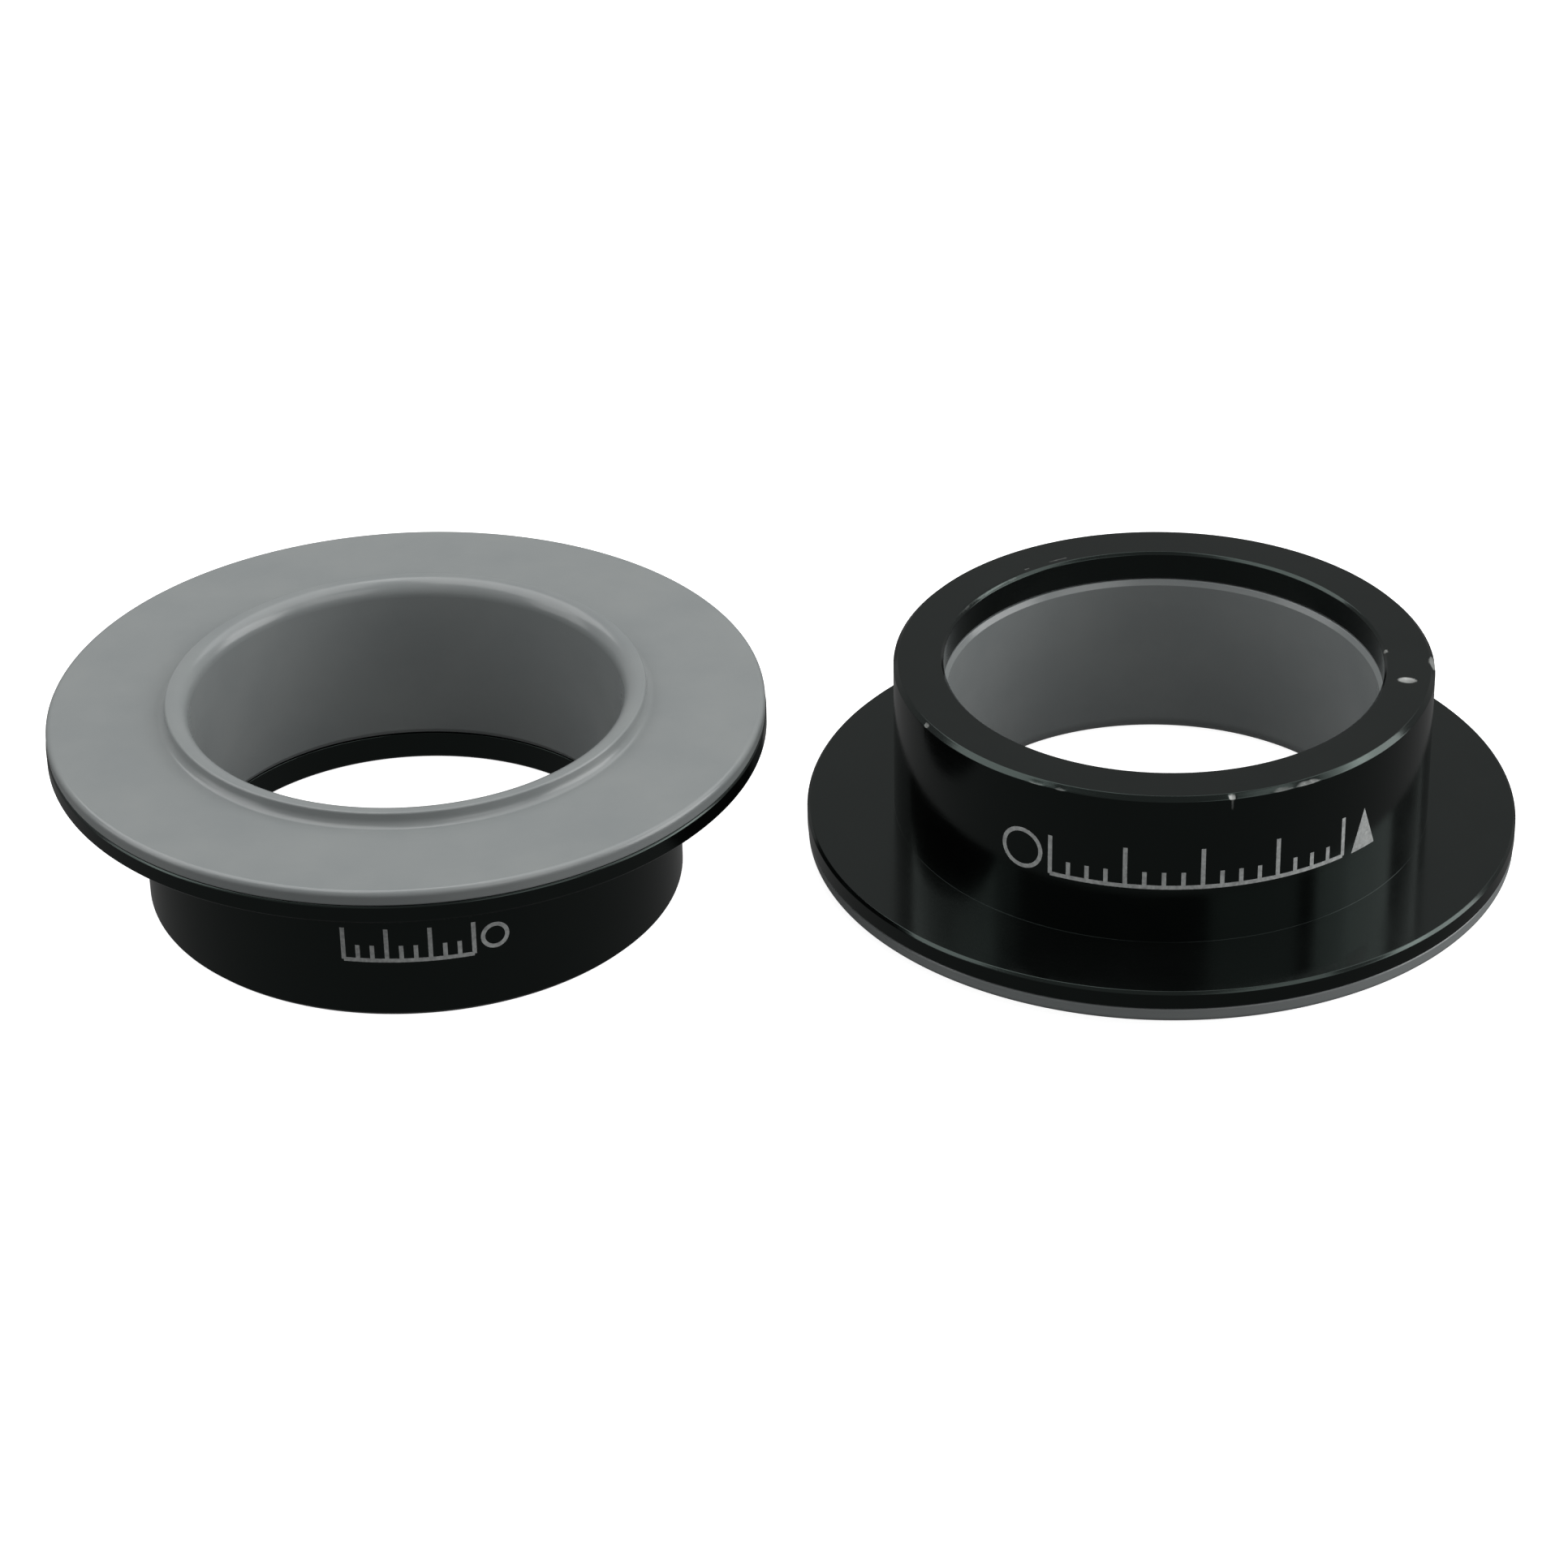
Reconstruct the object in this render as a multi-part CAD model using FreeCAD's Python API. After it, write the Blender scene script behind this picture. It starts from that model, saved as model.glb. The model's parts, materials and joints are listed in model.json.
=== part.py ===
import FreeCAD, Part
import math
import os

# A pair of flanged spindle reducers for a bicycle's bottom bracket.
# Each reducer is an aluminium sleeve that enters a 30 mm bearing, with a moulded plastic
# liner inside it that runs on a 24 mm crank spindle.
# The two reducers are alike. They stand side by side along X on the plane z = 0:
# the left one on its sleeve's end with the flange up, the right one turned over, on its lip.
# Millimetres. +Z is up, and the origin lies on the ground midway between the two axes.

# Sizes that the reducer takes from the parts around it
BEARING_BORE = 30.0        # inner diameter of the bottom bracket's bearing
SPINDLE_DIAMETER = 24.0    # diameter of the crank's spindle
BEARING_PLAY = 0.01        # radial gap between the sleeve and the bearing
SPINDLE_PLAY = 0.02        # radial gap between the liner and the spindle

# Aluminium sleeve. Heights are measured from its plain end, the end opposite the flange.
SEAT_LENGTH = 9.07         # from the plain end to the flange
FLANGE_THICKNESS = 1.08
FLANGE_DIAMETER = 39.8
LIP_LENGTH = 1.65          # inward lip at the plain end, which stops the liner
LIP_BORE = 24.4
SEAT_CHAMFER = 0.25
LIP_CHAMFER = 0.15
FLANGE_CHAMFER = 0.15
FLANGE_BACK_CHAMFER = 0.08
COUNTERBORE_CHAMFER = 0.20

# Plastic liner
WALL = 0.98                # thickness of the liner's tube
LINER_PLAY = 0.03          # radial gap between the liner's tube and the sleeve
END_GAP = 0.10             # gap between the liner's end and the sleeve's inward lip
END_CHAMFER = (0.18, 0.30)  # inside the tube's end: across, along
TUBE_CHAMFER = 0.20        # outside the tube's end
COVER_THICKNESS = 0.85     # liner's flange, which covers the sleeve's flange
COVER_DIAMETER = 39.7
COVER_TOP_ROUND = 0.32
COVER_BACK_ROUND = 0.12
RIM_HEIGHT = 0.80          # raised rim round the bore, above the cover
RIM_WIDTH = 1.24           # from the bore to the rim's outer wall, at the crest
RIM_SLOPE = 0.08           # how far the rim's outer wall leans out towards its foot
RIM_INNER_ROUND = 0.95     # the bore's mouth
RIM_OUTER_ROUND = 0.12
RIM_FOOT_ROUND = 0.45

# Where the two reducers stand
AXIS_SPACING = 42.0

# Worked out from the sizes above
SEAT_RADIUS = BEARING_BORE / 2 - BEARING_PLAY
FLANGE_RADIUS = FLANGE_DIAMETER / 2
LIP_BORE_RADIUS = LIP_BORE / 2
BORE_RADIUS = SPINDLE_DIAMETER / 2 + SPINDLE_PLAY
TUBE_RADIUS = BORE_RADIUS + WALL
COUNTERBORE_RADIUS = TUBE_RADIUS + LINER_PLAY
COVER_RADIUS = COVER_DIAMETER / 2
SLEEVE_TOP = SEAT_LENGTH + FLANGE_THICKNESS
COVER_TOP = SLEEVE_TOP + COVER_THICKNESS
RIM_TOP = COVER_TOP + RIM_HEIGHT
LINER_END = LIP_LENGTH + END_GAP

AXIS = FreeCAD.Vector(0, 0, 1)
ORIGIN = FreeCAD.Vector(0, 0, 0)
FULL_TURN = 360


def corner_points(before, corner, after, size, chamfered):
    """Where the two sides leave the corner, and the middle of the rounding between them."""
    towards_before = (before - corner).normalize()
    towards_after = (after - corner).normalize()
    half_angle = towards_before.getAngle(towards_after) / 2
    setback = size if chamfered else size / math.tan(half_angle)
    start = corner + towards_before * setback
    end = corner + towards_after * setback
    bisector = (towards_before + towards_after).normalize()
    centre = corner + bisector * (size / math.sin(half_angle))
    middle = centre - bisector * size
    return start, middle, end


def ring(outline):
    """A solid of revolution about Z.

    The outline is a closed list of (radius, height, corner, size), where corner is
    "sharp", "round" with its radius or "chamfer" with its leg.
    """
    points = [FreeCAD.Vector(radius, 0, height) for radius, height, _, _ in outline]
    corners = []
    for index, (_, _, corner, size) in enumerate(outline):
        before = points[index - 1]
        after = points[(index + 1) % len(points)]
        here = points[index]
        if corner == "sharp":
            corners.append((here, here, here))
        else:
            corners.append(corner_points(before, here, after, size, corner == "chamfer"))
    edges = []
    for index, (start, middle, end) in enumerate(corners):
        corner = outline[index][2]
        if corner == "round":
            edges.append(Part.Arc(start, middle, end).toShape())
        elif corner == "chamfer":
            edges.append(Part.LineSegment(start, end).toShape())
        next_start = corners[(index + 1) % len(corners)][0]
        edges.append(Part.LineSegment(end, next_start).toShape())
    face = Part.Face(Part.Wire(edges))
    return face.revolve(ORIGIN, AXIS, FULL_TURN)


def sleeve():
    """The flanged aluminium sleeve, plain end down."""
    return ring([
        (LIP_BORE_RADIUS, 0, "chamfer", LIP_CHAMFER),
        (SEAT_RADIUS, 0, "chamfer", SEAT_CHAMFER),
        (SEAT_RADIUS, SEAT_LENGTH, "sharp", 0),
        (FLANGE_RADIUS, SEAT_LENGTH, "chamfer", FLANGE_CHAMFER),
        (FLANGE_RADIUS, SLEEVE_TOP, "chamfer", FLANGE_BACK_CHAMFER),
        (COUNTERBORE_RADIUS, SLEEVE_TOP, "chamfer", COUNTERBORE_CHAMFER),
        (COUNTERBORE_RADIUS, LIP_LENGTH, "sharp", 0),
        (LIP_BORE_RADIUS, LIP_LENGTH, "sharp", 0),
    ])


def liner():
    """The plastic liner where it sits in that sleeve: tube, cover and raised rim in one piece."""
    chamfer_across, chamfer_along = END_CHAMFER
    rim_radius = BORE_RADIUS + RIM_WIDTH
    return ring([
        (BORE_RADIUS + chamfer_across, LINER_END, "sharp", 0),
        (TUBE_RADIUS, LINER_END, "chamfer", TUBE_CHAMFER),
        (TUBE_RADIUS, SLEEVE_TOP, "sharp", 0),
        (COVER_RADIUS, SLEEVE_TOP, "round", COVER_BACK_ROUND),
        (COVER_RADIUS, COVER_TOP, "round", COVER_TOP_ROUND),
        (rim_radius + RIM_SLOPE, COVER_TOP, "round", RIM_FOOT_ROUND),
        (rim_radius, RIM_TOP, "round", RIM_OUTER_ROUND),
        (BORE_RADIUS, RIM_TOP, "round", RIM_INNER_ROUND),
        (BORE_RADIUS, LINER_END + chamfer_along, "sharp", 0),
    ])


def stand_left(shape):
    """Stands a piece at the left, flange up."""
    shape.translate(FreeCAD.Vector(-AXIS_SPACING / 2, 0, 0))
    return shape


def stand_right(shape):
    """Turns a piece over and stands it at the right, on the liner's rim."""
    shape.rotate(ORIGIN, FreeCAD.Vector(1, 0, 0), FULL_TURN / 2)
    shape.translate(FreeCAD.Vector(AXIS_SPACING / 2, 0, RIM_TOP))
    return shape


os.makedirs("parts", exist_ok=True)
nodes = {
    "left_sleeve": stand_left(sleeve()),
    "left_liner": stand_left(liner()),
    "right_sleeve": stand_right(sleeve()),
    "right_liner": stand_right(liner()),
}
for name, shape in nodes.items():
    shape.exportStep("parts/" + name + ".step")
    print(name, "valid:", shape.isValid(), "volume:", round(shape.Volume, 1))
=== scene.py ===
import json
import math

import bpy
from mathutils import Euler, Matrix, Vector, noise


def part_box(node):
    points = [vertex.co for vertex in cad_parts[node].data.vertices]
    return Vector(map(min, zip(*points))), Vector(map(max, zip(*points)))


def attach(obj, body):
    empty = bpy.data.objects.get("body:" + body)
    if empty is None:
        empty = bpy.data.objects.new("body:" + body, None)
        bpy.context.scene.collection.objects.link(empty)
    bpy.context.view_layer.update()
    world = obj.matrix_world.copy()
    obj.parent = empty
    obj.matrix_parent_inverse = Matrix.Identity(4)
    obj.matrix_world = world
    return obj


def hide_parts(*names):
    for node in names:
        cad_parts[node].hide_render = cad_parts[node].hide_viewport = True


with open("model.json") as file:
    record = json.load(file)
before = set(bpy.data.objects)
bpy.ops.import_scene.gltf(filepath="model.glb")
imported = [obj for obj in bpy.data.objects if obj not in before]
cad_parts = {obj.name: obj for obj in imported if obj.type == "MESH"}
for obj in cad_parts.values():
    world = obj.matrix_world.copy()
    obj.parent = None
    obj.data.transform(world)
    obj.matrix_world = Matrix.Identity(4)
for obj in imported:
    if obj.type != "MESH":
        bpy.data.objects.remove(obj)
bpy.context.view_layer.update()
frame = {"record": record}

# A pair of flanged spindle reducers for a bottom bracket, each a black anodised sleeve with a
# grey moulded liner. Profiles are in millimetres: radius from the reducer's own axis, and
# height from the sleeve's plain end. Angles are in degrees round that axis, 0 towards the
# viewer and positive towards +X. Blender's own numbers are in metres.

MM = 0.001
SIDES = ("left", "right")
WEAR_SEED = 7              # which stretch of the noise makes the burr ragged

# ---------------------------------------------------------------- sizes
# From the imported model
mounts = {mount["name"]: mount for mount in frame["record"]["mounts"]}
_, sleeve_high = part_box("left_sleeve")
liner_low, liner_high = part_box("left_liner")
AXIS_X = {side: mounts[side + "_spindle_bore"]["pos_m"][0] for side in SIDES}
BORE_RADIUS = mounts["left_spindle_bore"]["dims"]["r_mm"]
SEAT_RADIUS = mounts["left_bearing_seat"]["dims"]["r_mm"]
SEAT_LENGTH = mounts["left_bearing_shoulder"]["pos_m"][2] / MM
FLANGE_RADIUS = sleeve_high.y / MM
COVER_RADIUS = liner_high.y / MM
SLEEVE_TOP = sleeve_high.z / MM
LINER_END = liner_low.z / MM
RIM_TOP = liner_high.z / MM

# The rest of the profile, as in the CAD model
LIP_LENGTH = 1.65
LIP_BORE_RADIUS = 12.20
LIP_CHAMFER = 0.15
SEAT_CHAMFER = 0.25
FLANGE_CHAMFER = 0.15
FLANGE_BACK_CHAMFER = 0.08
COUNTERBORE_CHAMFER = 0.20
COUNTERBORE_RADIUS = 13.03
TUBE_RADIUS = 13.00
TUBE_CHAMFER = 0.20
END_CHAMFER = (0.18, 0.30)
COVER_THICKNESS = 0.85
COVER_TOP_ROUND = 0.32
COVER_BACK_ROUND = 0.12
RIM_WIDTH = 1.24
RIM_SLOPE = 0.08
RIM_INNER_ROUND = 0.95
RIM_OUTER_ROUND = 0.12
RIM_FOOT_ROUND = 0.45
COVER_TOP = SLEEVE_TOP + COVER_THICKNESS

# Finish of the edges and of the mesh
EDGE_BREAK = 0.045         # radius of a turned edge
INNER_CORNER = 0.01        # radius where the wall meets the flange
MOULD_BREAK = 0.06         # radius of a moulded edge
ARC_STEP = 11              # degrees of arc between two rows of vertices
LONGEST_SETBACK = 0.80     # share of a side that the rounding of its corner may take
HOLD = 0.03                # distance from an arc to the row that keeps a flat face flat
COARSE = 1.3               # longest run between two rows
FINE = 0.15                # the same on the plain end, where the wear is
COLUMN_STEP = 0.9          # degrees between two columns of vertices
WORN_COLUMN_STEP = 0.22    # the same where the sleeve is worn


# ---------------------------------------------------------------- turned shapes
def rounded_corner(before, corner, after, radius):
    """Points of the arc that rounds off a corner of a profile."""
    to_before = (before - corner).normalized()
    to_after = (after - corner).normalized()
    half = to_before.angle(to_after) / 2
    setback = radius / math.tan(half)
    longest = LONGEST_SETBACK * min((before - corner).length, (after - corner).length)
    if setback > longest:
        radius *= longest / setback
        setback = longest
    bisector = (to_before + to_after).normalized()
    centre = corner + bisector * (radius / math.sin(half))
    start = corner + to_before * setback - centre
    end = corner + to_after * setback - centre
    turn = start.angle_signed(end)
    steps = max(2, math.ceil(abs(math.degrees(turn)) / ARC_STEP))
    return [centre + Matrix.Rotation(-turn * i / steps, 2) @ start for i in range(steps + 1)]


def rows_between(start, end, longest):
    """Rows along a straight run, with one close to each end to keep the shading flat."""
    run = end - start
    length = run.length
    if length < 3 * HOLD:
        return []
    inner = length - 2 * HOLD
    count = max(1, math.ceil(inner / longest))
    return [start + run * ((HOLD + inner * i / count) / length) for i in range(count + 1)]


def profile_rows(outline):
    """The closed outline as (radius, height) rows: arcs at its corners and runs between them.

    Each entry is (radius, height, rounding, longest run to the next corner).
    """
    corners = [Vector((radius, height)) for radius, height, _, _ in outline]
    arcs = []
    for index, (_, _, rounding, _) in enumerate(outline):
        after = corners[(index + 1) % len(corners)]
        arcs.append(rounded_corner(corners[index - 1], corners[index], after, rounding))
    rows = []
    for index, arc in enumerate(arcs):
        rows += arc
        next_arc = arcs[(index + 1) % len(arcs)]
        rows += rows_between(arc[-1], next_arc[0], outline[index][3])
    return rows


def column_angles(windows):
    """Angles of the columns, closer together inside the windows, which are (from, to)."""
    angles = []
    angle = -180.0
    while angle < 180.0 - 0.01:
        angles.append(angle)
        near = any(low <= angle < high for low, high in windows)
        angle += WORN_COLUMN_STEP if near else COLUMN_STEP
    return angles


def place(side):
    """Stands a piece made on the Z axis, plain end down, where its reducer is."""
    stand = Matrix.Translation((AXIS_X[side], 0, 0))
    if side == "right":
        turned_over = Matrix.Rotation(math.pi, 4, "X")
        stand = Matrix.Translation((AXIS_X[side], 0, RIM_TOP * MM)) @ turned_over
    return stand


def lathe(name, side, outline, windows=(), wear=None):
    """A closed ring turned round the reducer's axis, with the wear that the function gives.

    wear(angle, radius, height) returns how far the surface moves, as (radius, height), and
    how much bare metal shows, from 0 to 1.
    """
    rows = profile_rows(outline)
    angles = column_angles(windows)
    lengths = [0.0]
    for before, after in zip(rows, rows[1:]):
        lengths.append(lengths[-1] + (after - before).length)
    stand = place(side)
    flip = -1 if side == "right" else 1
    vertices, turned, bare = [], [], []
    for angle in angles:
        theta = math.radians(angle)
        across, along = math.sin(theta), -math.cos(theta) * flip
        for row, length in zip(rows, lengths):
            moved, metal = ((0, 0), 0) if wear is None else wear(angle, row.x, row.y)
            radius = (row.x + moved[0]) * MM
            height = (row.y + moved[1]) * MM
            vertices.append(stand @ Vector((radius * across, radius * along, height)))
            turned.append((across, along, length))
            bare.append(metal)
    count = len(rows)
    faces = []
    for column in range(len(angles)):
        here = column * count
        there = ((column + 1) % len(angles)) * count
        for row in range(count):
            next_row = (row + 1) % count
            quad = (here + row, there + row, there + next_row, here + next_row)
            faces.append(quad)
    mesh = bpy.data.meshes.new(name)
    mesh.from_pydata([tuple(v) for v in vertices], [], faces)
    mesh.shade_smooth()
    add_vectors(mesh, "turned", turned)
    add_values(mesh, "bare", bare)
    piece = bpy.data.objects.new(name, mesh)
    bpy.context.scene.collection.objects.link(piece)
    make_faces_point_out(mesh)
    return piece


def add_vectors(mesh, name, vectors):
    layer = mesh.attributes.new(name, "FLOAT_VECTOR", "POINT")
    layer.data.foreach_set("vector", [value for vector in vectors for value in vector])


def add_values(mesh, name, values):
    layer = mesh.attributes.new(name, "FLOAT", "POINT")
    layer.data.foreach_set("value", values)


def make_faces_point_out(mesh):
    """Turns the faces over if the closed mesh is inside out."""
    volume = 0.0
    for polygon in mesh.polygons:
        volume += polygon.center.dot(polygon.normal) * polygon.area
    if volume < 0:
        mesh.flip_normals()


# ---------------------------------------------------------------- materials
def new_material(name):
    material = bpy.data.materials.new(name)
    material.use_nodes = True
    nodes = material.node_tree.nodes
    nodes.clear()
    output = nodes.new("ShaderNodeOutputMaterial")
    shader = nodes.new("ShaderNodeBsdfPrincipled")
    material.node_tree.links.new(shader.outputs["BSDF"], output.inputs["Surface"])
    return material, shader


def add_node(material, kind, settings=None, inputs=None):
    """Adds a node, sets its properties, and sets or links its inputs."""
    node = material.node_tree.nodes.new(kind)
    for key, value in (settings or {}).items():
        setattr(node, key, value)
    for key, value in (inputs or {}).items():
        if isinstance(value, bpy.types.NodeSocket):
            material.node_tree.links.new(value, node.inputs[key])
        else:
            node.inputs[key].default_value = value
    return node


def link(material, source, target):
    material.node_tree.links.new(source, target)


def attribute(material, name):
    return add_node(material, "ShaderNodeAttribute", {"attribute_name": name})


def stretched(material, vector, scale):
    """The vector scaled by its own amount on each axis."""
    settings = {"operation": "MULTIPLY"}
    node = add_node(material, "ShaderNodeVectorMath", settings, {0: vector, 1: scale})
    return node.outputs[0]


def cloud(material, vector, scale, detail=3.0, roughness=0.5):
    inputs = {"Vector": vector, "Scale": scale, "Detail": detail, "Roughness": roughness}
    return add_node(material, "ShaderNodeTexNoise", {}, inputs).outputs["Fac"]


def ramp(material, factor, low, high, to_low=0.0, to_high=1.0):
    """The factor from low to high, mapped to another range and kept inside it."""
    inputs = {
        "Value": factor, "From Min": low, "From Max": high, "To Min": to_low, "To Max": to_high,
    }
    return add_node(material, "ShaderNodeMapRange", {"clamp": True}, inputs).outputs["Result"]


def mixed(material, factor, first, second):
    node = add_node(material, "ShaderNodeMix", {"data_type": "RGBA"})
    sockets = (node.inputs[0], node.inputs[6], node.inputs[7])
    for value, socket in zip((factor, first, second), sockets):
        if isinstance(value, bpy.types.NodeSocket):
            link(material, value, socket)
        else:
            socket.default_value = value
    return node.outputs[2]


def calculated(material, operation, first, second):
    node = add_node(material, "ShaderNodeMath", {"operation": operation}, {0: first, 1: second})
    return node.outputs[0]


def bumped(material, height, strength, distance, normal=None):
    inputs = {"Height": height, "Strength": strength, "Distance": distance}
    if normal is not None:
        inputs["Normal"] = normal
    return add_node(material, "ShaderNodeBump", {}, inputs).outputs["Normal"]


def anodised_black():
    """Black anodised aluminium: turning lines, faint handling marks and bare metal where worn."""
    material, shader = new_material("anodised_black")
    shader.inputs["Specular Tint"].default_value = (0.80, 1.0, 0.93, 1)
    turned = attribute(material, "turned").outputs["Vector"]
    bare = attribute(material, "bare").outputs["Fac"]
    place_in_space = add_node(material, "ShaderNodeTexCoord").outputs["Object"]
    lines = cloud(material, stretched(material, turned, (0.7, 0.7, 9.0)), 2.2, 4.0, 0.6)
    smudges = cloud(material, place_in_space, 260.0, 4.0, 0.55)
    specks = cloud(material, place_in_space, 2600.0, 2.0, 0.5)
    uneven = calculated(material, "MULTIPLY", specks, 0.3)
    ragged = ramp(material, calculated(material, "ADD", bare, uneven), 0.32, 1.05)
    dark = mixed(material, smudges, (0.0008, 0.0009, 0.0009, 1), (0.0020, 0.0022, 0.0021, 1))
    metal = mixed(material, specks, (0.20, 0.20, 0.19, 1), (0.52, 0.53, 0.52, 1))
    link(material, mixed(material, ragged, dark, metal), shader.inputs["Base Color"])
    gloss = ramp(material, smudges, 0.3, 0.7, 0.085, 0.15)
    gloss = calculated(material, "ADD", gloss, ramp(material, lines, 0.35, 0.75, 0.0, 0.05))
    gloss = calculated(material, "ADD", gloss, calculated(material, "MULTIPLY", ragged, 0.3))
    link(material, gloss, shader.inputs["Roughness"])
    link(material, calculated(material, "MULTIPLY", ragged, 0.7), shader.inputs["Metallic"])
    normal = bumped(material, lines, 0.10, 0.00001)
    normal = bumped(material, specks, 0.04, 0.00001, normal)
    link(material, normal, shader.inputs["Normal"])
    return material


def moulded_grey():
    """Grey moulded plastic with a soft gloss, slightly uneven."""
    material, shader = new_material("liner_grey")
    shader.inputs["IOR"].default_value = 1.47
    place_in_space = add_node(material, "ShaderNodeTexCoord").outputs["Object"]
    turned = attribute(material, "turned").outputs["Vector"]
    mottle = cloud(material, place_in_space, 180.0, 4.0, 0.55)
    grain = cloud(material, place_in_space, 5200.0, 2.0, 0.5)
    flow = cloud(material, stretched(material, turned, (2.0, 2.0, 0.6)), 1.6, 3.0, 0.5)
    patches = ramp(material, mottle, 0.3, 0.7)
    grey = mixed(material, patches, (0.182, 0.196, 0.197, 1), (0.203, 0.216, 0.214, 1))
    link(material, grey, shader.inputs["Base Color"])
    gloss = ramp(material, flow, 0.3, 0.7, 0.16, 0.22)
    gloss = calculated(material, "ADD", gloss, ramp(material, grain, 0.3, 0.8, 0.0, 0.05))
    link(material, gloss, shader.inputs["Roughness"])
    normal = bumped(material, flow, 0.06, 0.0002)
    normal = bumped(material, grain, 0.05, 0.00001, normal)
    link(material, normal, shader.inputs["Normal"])
    return material


def etched_grey():
    """The matt pale grey that a laser leaves in black anodising."""
    material, shader = new_material("etched_grey")
    shader.inputs["Roughness"].default_value = 0.7
    shader.inputs["Specular IOR Level"].default_value = 0.2
    place_in_space = add_node(material, "ShaderNodeTexCoord").outputs["Object"]
    grain = cloud(material, place_in_space, 4200.0, 3.0, 0.6)
    patches = ramp(material, grain, 0.3, 0.7)
    tone = mixed(material, patches, (0.30, 0.31, 0.308, 1), (0.50, 0.52, 0.51, 1))
    link(material, tone, shader.inputs["Base Color"])
    return material


BLACK = anodised_black()
GREY = moulded_grey()
ETCHED = etched_grey()


def finish_piece(piece, material, body, nodes=()):
    piece.data.materials.clear()
    piece.data.materials.append(material)
    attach(piece, body)
    if nodes:
        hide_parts(*nodes)


# ---------------------------------------------------------------- wear and marks
# Nicks in the right sleeve's plain end: where the middle is (angle, radius, height), how far
# it reaches round and across, how deep it is and how much bare metal shows
NICKS = [
    (75.0, 13.50, 0.00, 0.34, 0.56, 0.05, 1.0),
    (84.0, 14.90, 0.10, 0.80, 0.28, 0.03, 0.75),
    (89.0, 12.36, 0.05, 0.20, 0.16, 0.02, 0.7),
    (7.6, 14.92, 0.14, 0.22, 0.20, 0.03, 0.9),
    (-66.0, 14.92, 0.12, 0.26, 0.18, 0.02, 0.5),
    (18.5, 14.95, 0.16, 0.90, 0.12, 0.01, 0.4),
    (24.5, 14.95, 0.16, 1.00, 0.13, 0.01, 0.45),
    (-28.0, 14.95, 0.18, 0.40, 0.12, 0.01, 0.3),
    (-33.5, 14.95, 0.18, 0.55, 0.11, 0.01, 0.3),
    (-148.6, 12.66, 0.00, 0.20, 0.12, 0.02, 0.35),
    (-158.0, 12.66, 0.00, 0.80, 0.06, 0.01, 0.3),
    (-152.0, 12.90, 0.00, 0.90, 0.05, 0.01, 0.2),
]
BURR = (-149.0, -114.0)    # ragged stretch of the plain end's inner edge
BURR_RADIUS = 12.30
BURR_REACH = 0.13
BURR_DEPTH = 0.03
BURR_WAVES = 0.55          # how quickly its raggedness changes, per degree
BURR_FADE = 4              # degrees over which it fades at either end
BURR_SHINE = 0.5           # how much metal shows where it is deepest
BURR_MOST_SHINE = 0.22
NICK_SHINE = 2.2           # how steeply the bare metal starts at a nick's edge
WORN_HEIGHT = SEAT_CHAMFER + 0.3   # nothing is worn above this
PLAIN_END_MIDDLE = 13.5    # wear pushes the edge outside this radius inwards and the other outwards
PUSHED_ASIDE = 0.5         # how much of the depth goes sideways
# Angles where the columns are close together, round the nicks
WORN_WINDOWS = ((-160, -147), (-68, -64), (-36, -26), (6, 9), (16, 28), (72, 91))


def worn_plain_end(angle, radius, height):
    """How far the plain end has worn at a point, and how much bare metal shows there."""
    sunk, metal = 0.0, 0.0
    if height > WORN_HEIGHT:
        return (0, 0), 0.0
    for middle, at_radius, at_height, reach_round, reach_across, depth, shine in NICKS:
        round_part = math.radians(angle - middle) * radius / reach_round
        if abs(round_part) > 1:
            continue
        across_part = math.hypot(radius - at_radius, height - at_height) / reach_across
        worn = 1 - round_part ** 2 - across_part ** 2
        if worn > 0:
            sunk = max(sunk, depth * worn)
            metal = max(metal, shine * min(1.0, NICK_SHINE * worn))
    if BURR[0] < angle < BURR[1] and radius < BURR_RADIUS + 2 * BURR_REACH:
        ragged = 0.5 + 0.5 * noise.noise(Vector((angle * BURR_WAVES, 0.0, WEAR_SEED)))
        ends = min(1.0, (angle - BURR[0]) / BURR_FADE, (BURR[1] - angle) / BURR_FADE)
        worn = ends * ragged - abs(radius - BURR_RADIUS) / (2 * BURR_REACH)
        if worn > 0:
            sunk = max(sunk, BURR_DEPTH * worn)
            metal = max(metal, min(BURR_MOST_SHINE, BURR_SHINE * worn))
    sideways = -1 if radius > PLAIN_END_MIDDLE else 1
    return (sideways * PUSHED_ASIDE * sunk, sunk), metal


# Etched marks
MARK_SUNK = 0.006          # how deep a mark's inside reaches into the wall
MARK_PROUD = 0.010         # and how far it stands out of it
MARK_STROKE = 0.24
STRIP_STEP = 1.5           # degrees between two columns of a long mark
HOOP_STEPS = 32
WEDGE_STEPS = 8            # columns across a pointer
WEDGE_EDGE = 0.02          # how tall a pointer is at its sides
LONG_MARK_HEIGHT = (3.2, 5.7)
LONG_MARK_TICKS = (-30, 4, 17)     # the first one's angle, the spacing and how many
LONG_MARK_TALL = 4         # every fourth tick is a tall one
LONG_MARK_RING = -36.5
LONG_MARK_POINTER = 40
POINTER_WIDTH = 1.8
SMALL_TICK_DROP = 0.2      # how far a small tick's tip is from the middle
SHORT_MARK_HEIGHT = (3.5, 5.6)
SHORT_MARK_TICKS = (-15, 3, 10)
SHORT_MARK_TALL = 3
SHORT_MARK_RING = 16.5
SHORT_RING_RADIUS = 0.8
SHORT_MARK_TURN = 1.5      # the left sleeve's front mark is a little off the middle


def wall_point(angle, height, radius):
    theta = math.radians(angle)
    return Vector((radius * math.sin(theta), -radius * math.cos(theta), height)) * MM


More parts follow.
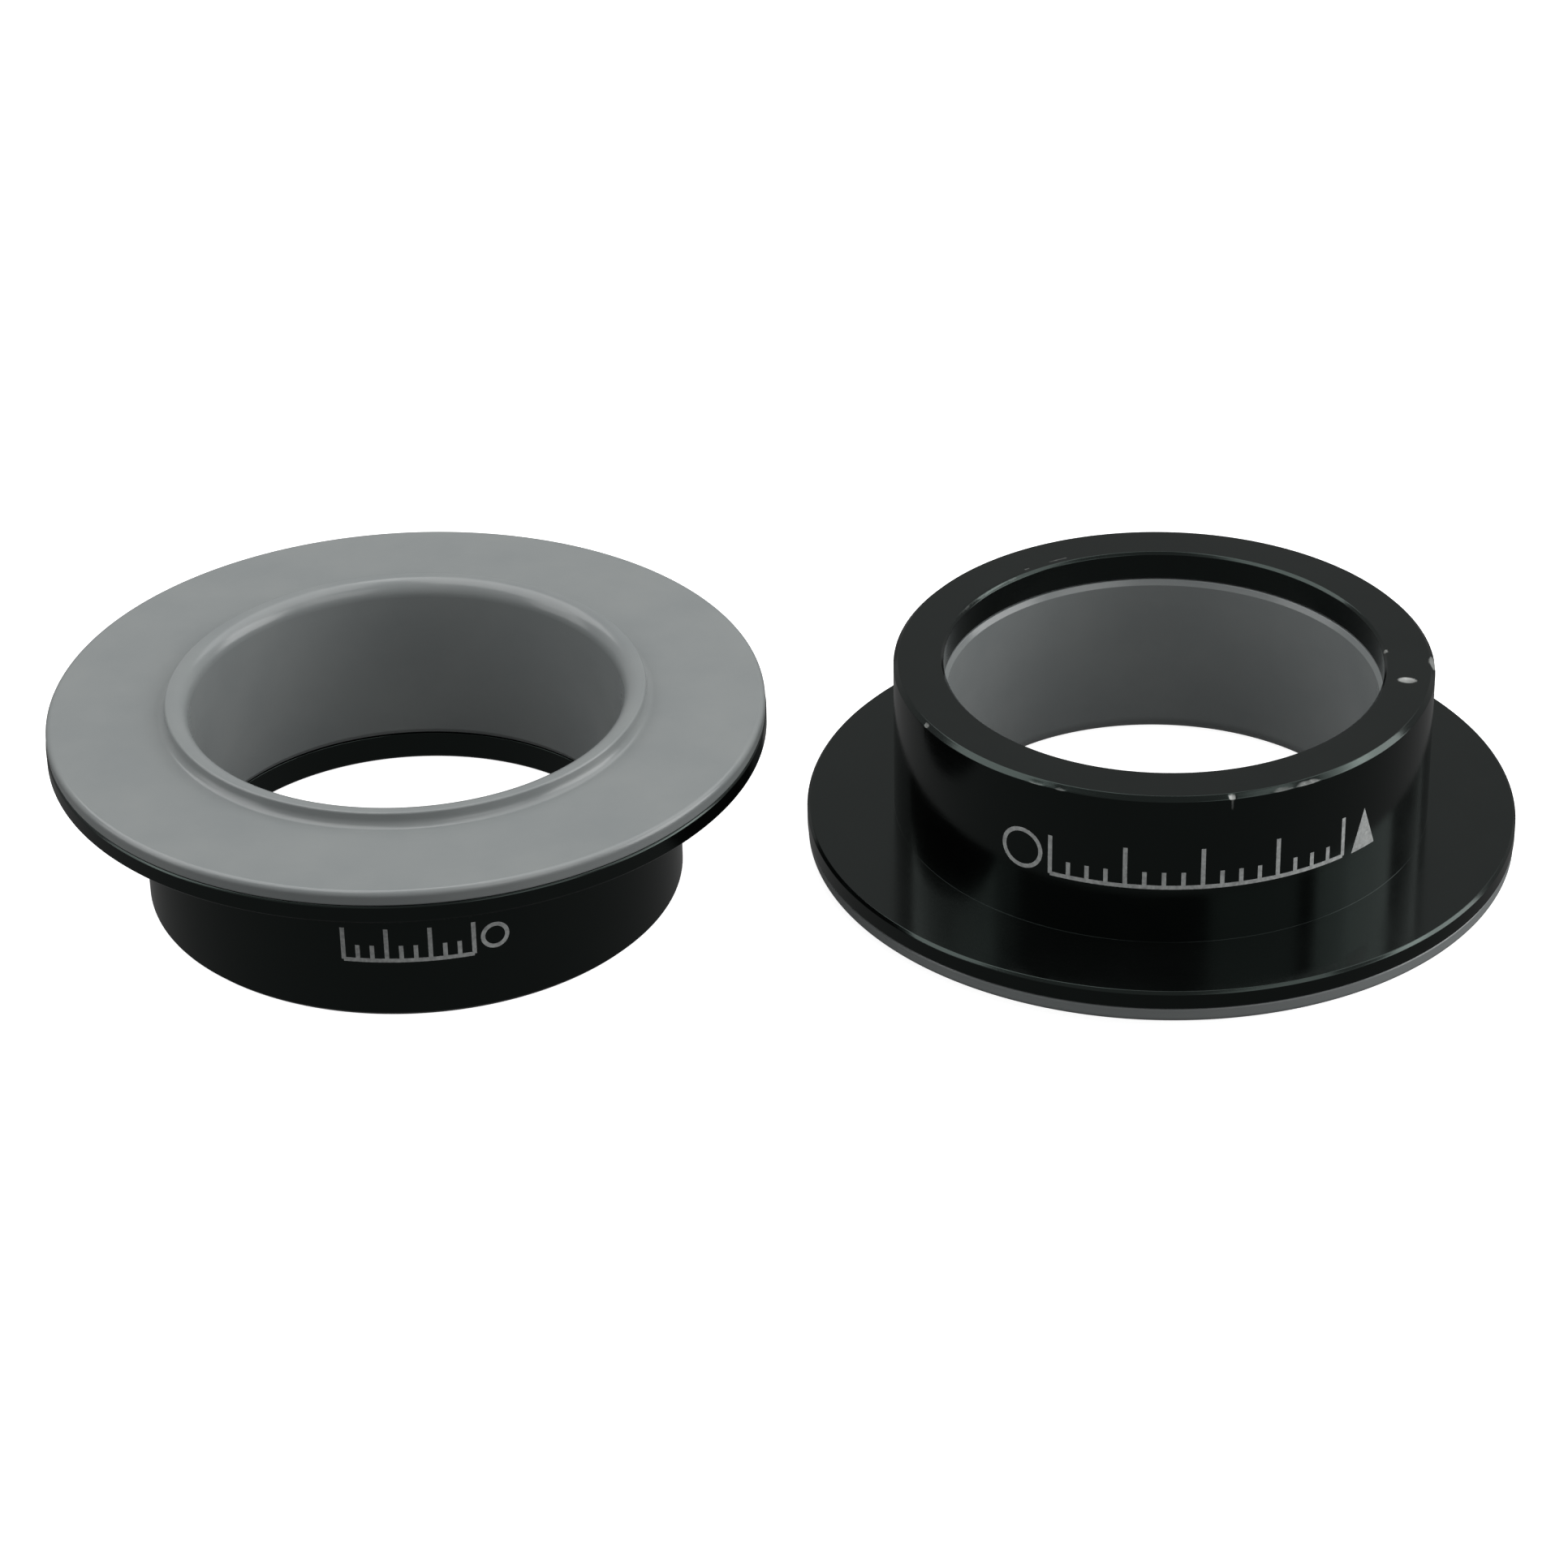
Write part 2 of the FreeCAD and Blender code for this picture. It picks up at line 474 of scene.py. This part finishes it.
def strip(first_edge, second_edge, closed):
    """A thin solid on the seat's wall between two lines of (angle, height) points."""
    count = len(first_edge)
    vertices, faces = [], []
    for radius in (SEAT_RADIUS - MARK_SUNK, SEAT_RADIUS + MARK_PROUD):
        for edge in (first_edge, second_edge):
            vertices += [wall_point(angle, height, radius) for angle, height in edge]
    inner_a, inner_b, outer_a, outer_b = (count * i for i in range(4))
    for i in range(count if closed else count - 1):
        j = (i + 1) % count
        faces.append((outer_a + i, outer_b + i, outer_b + j, outer_a + j))
        faces.append((inner_a + j, inner_b + j, inner_b + i, inner_a + i))
        faces.append((inner_a + i, outer_a + i, outer_a + j, inner_a + j))
        faces.append((inner_b + j, outer_b + j, outer_b + i, inner_b + i))
    if not closed:
        last = count - 1
        faces.append((inner_a, inner_b, outer_b, outer_a))
        faces.append((outer_a + last, outer_b + last, inner_b + last, inner_a + last))
    return vertices, faces


def across_wall(length):
    """Degrees round the wall for a length in millimetres."""
    return math.degrees(length / SEAT_RADIUS)


def bar(angle_from, angle_to, height_from, height_to):
    steps = max(1, math.ceil((angle_to - angle_from) / STRIP_STEP))
    angles = [angle_from + (angle_to - angle_from) * i / steps for i in range(steps + 1)]
    return strip([(a, height_from) for a in angles], [(a, height_to) for a in angles], False)


def tick(angle, height_from, height_to):
    half = across_wall(MARK_STROKE) / 2
    return bar(angle - half, angle + half, height_from, height_to)


def hoop(angle, height, radius):
    turns = [2 * math.pi * i / HOOP_STEPS for i in range(HOOP_STEPS)]
    edges = []
    for reach in (radius - MARK_STROKE, radius):
        edges.append([
            (angle + across_wall(reach * math.cos(t)), height + reach * math.sin(t)) for t in turns
        ])
    return strip(edges[0], edges[1], True)


def wedge(angle, height_from, height_to, width):
    """A small solid triangle whose point is at the first height."""
    half = across_wall(width) / 2
    shares = [2 * i / WEDGE_STEPS - 1 for i in range(WEDGE_STEPS + 1)]
    base = height_to - WEDGE_EDGE
    sloping = [(angle + half * s, base + (height_from - base) * (1 - abs(s))) for s in shares]
    level = [(angle + half * s, height_to) for s in shares]
    return strip(sloping, level, False)


def long_scale(centre):
    """A graduated line between a ring and a pointer."""
    low, high = LONG_MARK_HEIGHT
    middle = (low + high) / 2
    first, spacing, count = LONG_MARK_TICKS
    start = centre + first
    shapes = [bar(start, start + spacing * (count - 1), high - MARK_STROKE, high)]
    for index in range(count):
        top = low if index % LONG_MARK_TALL == 0 else middle + SMALL_TICK_DROP
        shapes.append(tick(start + spacing * index, top, high - MARK_STROKE / 2))
    shapes.append(hoop(centre + LONG_MARK_RING, middle, (high - low) / 2))
    shapes.append(wedge(centre + LONG_MARK_POINTER, low, high, POINTER_WIDTH))
    return shapes


def short_scale(centre):
    """A short row of bars with a ring at its end."""
    low, high = SHORT_MARK_HEIGHT
    middle = (low + high) / 2
    first, spacing, count = SHORT_MARK_TICKS
    start = centre + first
    shapes = [bar(start, start + spacing * (count - 1), low, low + MARK_STROKE)]
    for index in range(count):
        top = high if index % SHORT_MARK_TALL == 0 else middle
        shapes.append(tick(start + spacing * index, low + MARK_STROKE / 2, top))
    shapes.append(hoop(centre + SHORT_MARK_RING, middle, SHORT_RING_RADIUS))
    return shapes


def etched_mark(name, side, shapes):
    """One thin piece holding all the strips, standing where the side's sleeve stands."""
    vertices, faces = [], []
    for shape_vertices, shape_faces in shapes:
        start = len(vertices)
        vertices += shape_vertices
        faces += [tuple(start + i for i in face) for face in shape_faces]
    stand = place(side)
    if side == "right":
        stand = stand @ Matrix.Diagonal((1, -1, 1, 1))
    mesh = bpy.data.meshes.new(name)
    mesh.from_pydata([tuple(stand @ v) for v in vertices], [], faces)
    make_faces_point_out(mesh)
    piece = bpy.data.objects.new(name, mesh)
    bpy.context.scene.collection.objects.link(piece)
    finish_piece(piece, ETCHED, side + "_sleeve")


# ---------------------------------------------------------------- the reducers
def sleeve_outline():
    back = FLANGE_BACK_CHAMFER
    front = FLANGE_CHAMFER
    mouth = COUNTERBORE_CHAMFER
    return [
        (LIP_BORE_RADIUS, LIP_CHAMFER, EDGE_BREAK, FINE),
        (LIP_BORE_RADIUS + LIP_CHAMFER, 0, EDGE_BREAK, FINE),
        (SEAT_RADIUS - SEAT_CHAMFER, 0, EDGE_BREAK, FINE),
        (SEAT_RADIUS, SEAT_CHAMFER, EDGE_BREAK, COARSE),
        (SEAT_RADIUS, SEAT_LENGTH, INNER_CORNER, COARSE),
        (FLANGE_RADIUS - front, SEAT_LENGTH, EDGE_BREAK, COARSE),
        (FLANGE_RADIUS, SEAT_LENGTH + front, EDGE_BREAK, COARSE),
        (FLANGE_RADIUS, SLEEVE_TOP - back, EDGE_BREAK, COARSE),
        (FLANGE_RADIUS - back, SLEEVE_TOP, EDGE_BREAK, COARSE),
        (COUNTERBORE_RADIUS + mouth, SLEEVE_TOP, EDGE_BREAK, COARSE),
        (COUNTERBORE_RADIUS, SLEEVE_TOP - mouth, EDGE_BREAK, COARSE),
        (COUNTERBORE_RADIUS, LIP_LENGTH, EDGE_BREAK, COARSE),
        (LIP_BORE_RADIUS, LIP_LENGTH, EDGE_BREAK, COARSE),
    ]


def liner_outline():
    across, along = END_CHAMFER
    rim_radius = BORE_RADIUS + RIM_WIDTH
    return [
        (BORE_RADIUS, LINER_END + along, MOULD_BREAK, COARSE),
        (BORE_RADIUS + across, LINER_END, MOULD_BREAK, COARSE),
        (TUBE_RADIUS - TUBE_CHAMFER, LINER_END, MOULD_BREAK, COARSE),
        (TUBE_RADIUS, LINER_END + TUBE_CHAMFER, MOULD_BREAK, COARSE),
        (TUBE_RADIUS, SLEEVE_TOP, MOULD_BREAK, COARSE),
        (COVER_RADIUS, SLEEVE_TOP, COVER_BACK_ROUND, COARSE),
        (COVER_RADIUS, COVER_TOP, COVER_TOP_ROUND, COARSE),
        (rim_radius + RIM_SLOPE, COVER_TOP, RIM_FOOT_ROUND, COARSE),
        (rim_radius, RIM_TOP, RIM_OUTER_ROUND, COARSE),
        (BORE_RADIUS, RIM_TOP, RIM_INNER_ROUND, COARSE),
    ]


for side in SIDES:
    worn = side == "right"
    windows = WORN_WINDOWS if worn else ()
    wear = worn_plain_end if worn else None
    sleeve = lathe(side + "_sleeve_turned", side, sleeve_outline(), windows, wear)
    finish_piece(sleeve, BLACK, side + "_sleeve", [side + "_sleeve"])
    liner = lathe(side + "_liner_moulded", side, liner_outline())
    finish_piece(liner, GREY, side + "_liner", [side + "_liner"])
    front, rear = (short_scale, long_scale) if side == "left" else (long_scale, short_scale)
    etched_mark(side + "_mark_front", side, front(0 if side == "right" else SHORT_MARK_TURN))
    etched_mark(side + "_mark_rear", side, rear(180))


# ---------------------------------------------------------------- floor, light and camera
FLOOR_MIDDLE = 0.5
FLOOR_REACH = 1.6          # where the floor starts to curve up
COVE_RADIUS = 0.8
COVE_HEIGHT = 2.4
COVE_STEPS = 12
FLOOR_SEGMENTS = 96
FLOOR_GLOW = 0.92          # keeps the floor white where the light on it is weak
TABLE_REACH = 2.5
TABLE_GAP = 0.00005        # how far the table is below the objects
TABLE_GLOW = 0.12


def stage_piece(name, vertices, faces, material):
    mesh = bpy.data.meshes.new(name)
    mesh.from_pydata(vertices, [], faces)
    mesh.shade_smooth()
    mesh.materials.append(material)
    piece = bpy.data.objects.new(name, mesh)
    bpy.context.scene.collection.objects.link(piece)
    return piece


def glowing(name, tone, roughness, glow):
    """A matt material without gloss that gives off an even white glow."""
    material, shader = new_material(name)
    shader.inputs["Base Color"].default_value = (tone, tone, tone, 1)
    shader.inputs["Roughness"].default_value = roughness
    shader.inputs["Specular IOR Level"].default_value = 0.0
    shader.inputs["Emission Color"].default_value = (1, 1, 1, 1)
    shader.inputs["Emission Strength"].default_value = glow
    return material


def studio_floor():
    """A plain pale floor that curves up into a wall all round; only the camera sees it."""
    reach = [(FLOOR_MIDDLE, 0.0), (FLOOR_REACH, 0.0)]
    for step in range(1, COVE_STEPS + 1):
        turn = math.radians(90 * step / COVE_STEPS)
        across = FLOOR_REACH + COVE_RADIUS * math.sin(turn)
        reach.append((across, COVE_RADIUS * (1 - math.cos(turn))))
    reach.append((FLOOR_REACH + COVE_RADIUS, COVE_HEIGHT))
    vertices = [(0, 0, 0)]
    for across, height in reach:
        for segment in range(FLOOR_SEGMENTS):
            turn = 2 * math.pi * segment / FLOOR_SEGMENTS
            vertices.append((across * math.cos(turn), across * math.sin(turn), height))
    faces = [(0, 1 + s, 1 + (s + 1) % FLOOR_SEGMENTS) for s in range(FLOOR_SEGMENTS)]
    for row in range(len(reach) - 1):
        here = 1 + row * FLOOR_SEGMENTS
        there = here + FLOOR_SEGMENTS
        for s in range(FLOOR_SEGMENTS):
            after = (s + 1) % FLOOR_SEGMENTS
            faces.append((here + s, there + s, there + after, here + after))
    floor = stage_piece("floor", vertices, faces, glowing("floor", 0.6, 0.9, FLOOR_GLOW))
    floor.visible_glossy = False
    floor.visible_diffuse = False
    floor.visible_shadow = False


def studio_table():
    """The plain dim table that the objects stand on, as they see it; the camera doesn't."""
    reach = TABLE_REACH
    corners = [(-reach, -reach), (reach, -reach), (reach, reach), (-reach, reach)]
    corners = [(x, y, -TABLE_GAP) for x, y in corners]
    material = glowing("table", 0.0, 1.0, TABLE_GLOW)
    table = stage_piece("table", corners, [(0, 1, 2, 3)], material)
    table.visible_camera = False


# Soft square lights aimed at the middle of the objects: name, place, side and power in watts
LIGHTS = [
    ("overhead_left", (-0.32, 0.12, 0.60), 0.7, 3.4),
    ("overhead_right", (0.32, 0.12, 0.60), 0.7, 2.7),
    ("front_right", (0.40, -0.55, 0.50), 0.5, 1.1),
    ("side_left", (-0.80, -0.05, 0.25), 0.5, 1.2),
    ("side_right", (0.80, -0.05, 0.25), 0.6, 4.2),
]


def soft_light(name, position, side, power):
    data = bpy.data.lights.new(name, "AREA")
    data.shape = "SQUARE"
    data.size = side
    data.energy = power
    lamp = bpy.data.objects.new(name, data)
    bpy.context.scene.collection.objects.link(lamp)
    lamp.location = position
    lamp.rotation_mode = "QUATERNION"
    lamp.rotation_quaternion = (-Vector(position)).to_track_quat("-Z", "Y")


SURROUNDINGS = 0.29        # brightness of the studio's walls


def studio_surroundings():
    world = bpy.data.worlds.new("studio")
    bpy.context.scene.world = world
    world.use_nodes = True
    background = world.node_tree.nodes["Background"]
    background.inputs["Color"].default_value = (1, 1, 1, 1)
    background.inputs["Strength"].default_value = SURROUNDINGS


CAMERA_AIM = Vector((0.00008, 0.00759, 0.0))
CAMERA_AZIMUTH = -2.149    # degrees, as are the elevation and the roll
CAMERA_ELEVATION = 31.212
CAMERA_ROLL = -1.167
CAMERA_DISTANCE = 0.285025
CAMERA_LENS = 113.03       # millimetres, as is the sensor
SENSOR_WIDTH = 36.0
CLIP_START = 0.01
CLIP_END = 20


def front_camera():
    data = bpy.data.cameras.new("camera")
    data.sensor_width = SENSOR_WIDTH
    data.lens = CAMERA_LENS
    data.clip_start = CLIP_START
    data.clip_end = CLIP_END
    camera = bpy.data.objects.new("camera", data)
    bpy.context.scene.collection.objects.link(camera)
    azimuth = math.radians(CAMERA_AZIMUTH)
    elevation = math.radians(CAMERA_ELEVATION)
    back = Vector((
        math.sin(azimuth) * math.cos(elevation),
        -math.cos(azimuth) * math.cos(elevation),
        math.sin(elevation),
    ))
    level = (-back).to_track_quat("-Z", "Y")
    rolled = Euler((0, 0, math.radians(CAMERA_ROLL))).to_quaternion()
    camera.rotation_mode = "QUATERNION"
    camera.location = CAMERA_AIM + back * CAMERA_DISTANCE
    camera.rotation_quaternion = level @ rolled
    bpy.context.scene.camera = camera


studio_floor()
studio_table()
studio_surroundings()
for light in LIGHTS:
    soft_light(*light)
front_camera()
bpy.context.scene.view_settings.view_transform = "Standard"
